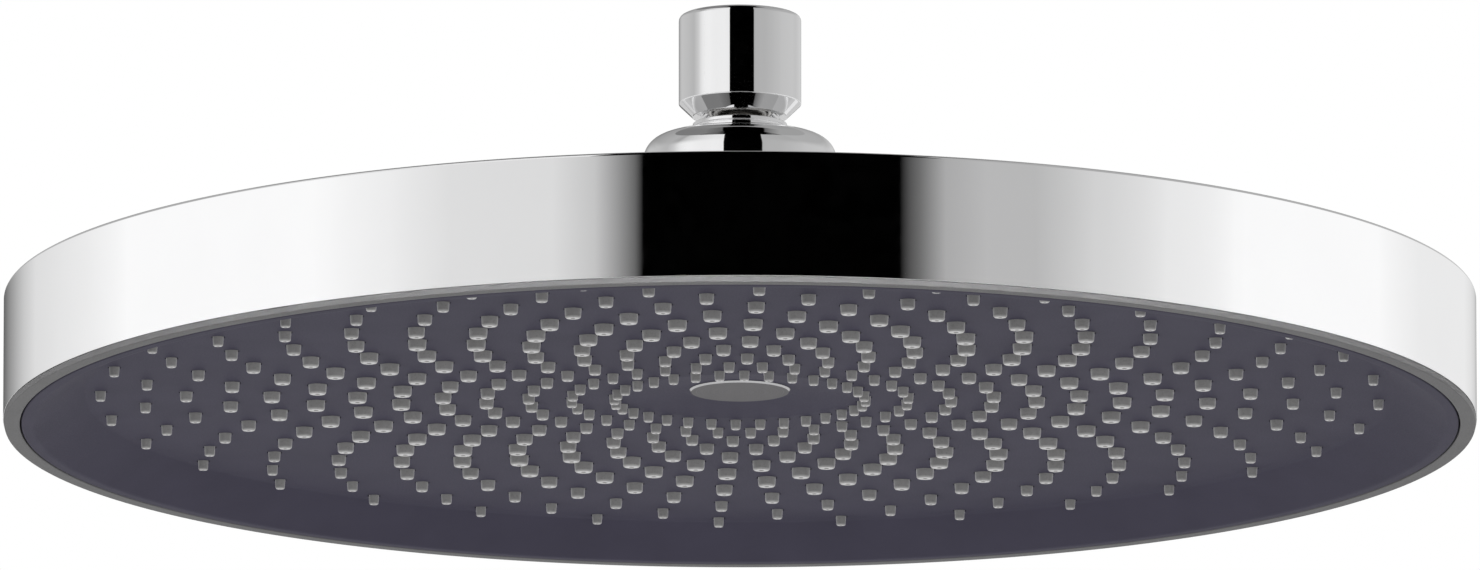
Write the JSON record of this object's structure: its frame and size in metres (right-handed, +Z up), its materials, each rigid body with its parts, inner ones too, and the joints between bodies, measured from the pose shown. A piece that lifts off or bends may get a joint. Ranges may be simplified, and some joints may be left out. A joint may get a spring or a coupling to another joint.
{
  "type": "rain shower head",
  "caption": "Wide round rain shower head: chromed shell with a straight wall, dark dished face with silicone nozzles, and a swivel nut on a ball joint for an overhead arm.",
  "frame": {"origin": "centre of the swivel nut's mouth", "axes": "+Z up along the supply pipe, -Z down through the face, X and Y across the disc"},
  "size_m": [0.3, 0.3, 0.0858],
  "materials": {
    "chrome_shell": "bright plated",
    "chrome_nut": "bright plated",
    "stem_brass": "turned",
    "trim_grey": "fine satin",
    "slate_plastic": "smooth satin",
    "nozzle_silicone": "translucent silicone",
    "badge_grey": "satin",
    "black_rubber": "moulded",
    "screen_steel": "stainless",
    "white_acetal": "moulded",
    "chamber_plastic": "moulded"
  },
  "bodies": {
    "nut": {"swivel_nut": "chrome_nut", "inlet_washer": "black_rubber", "filter_screen": "screen_steel"},
    "seat": {"seat_ring": "white_acetal"},
    "head": {"ball_stem": "stem_brass", "flow_regulator": "white_acetal", "top_shell": "chrome_shell", "trim_ring": "trim_grey", "face_plate": "slate_plastic", "nozzle_mat": "nozzle_silicone", "chamber_back": "chamber_plastic", "stem_seal": "black_rubber", "hub_insert": "stem_brass", "centre_screw": "screen_steel", "centre_badge": "badge_grey"}
  },
  "joints": [
    {"name": "swivel", "type": "hinge", "parent": "nut", "child": "seat", "pos_m": [0, 0, -0.0148], "axis": [0, 0, 1], "continuous": true},
    {"name": "tilt", "type": "hinge", "parent": "seat", "child": "head", "pos_m": [0, 0, -0.0148], "axis": [1, 0, 0], "range_deg": [-10, 10]}
  ]
}
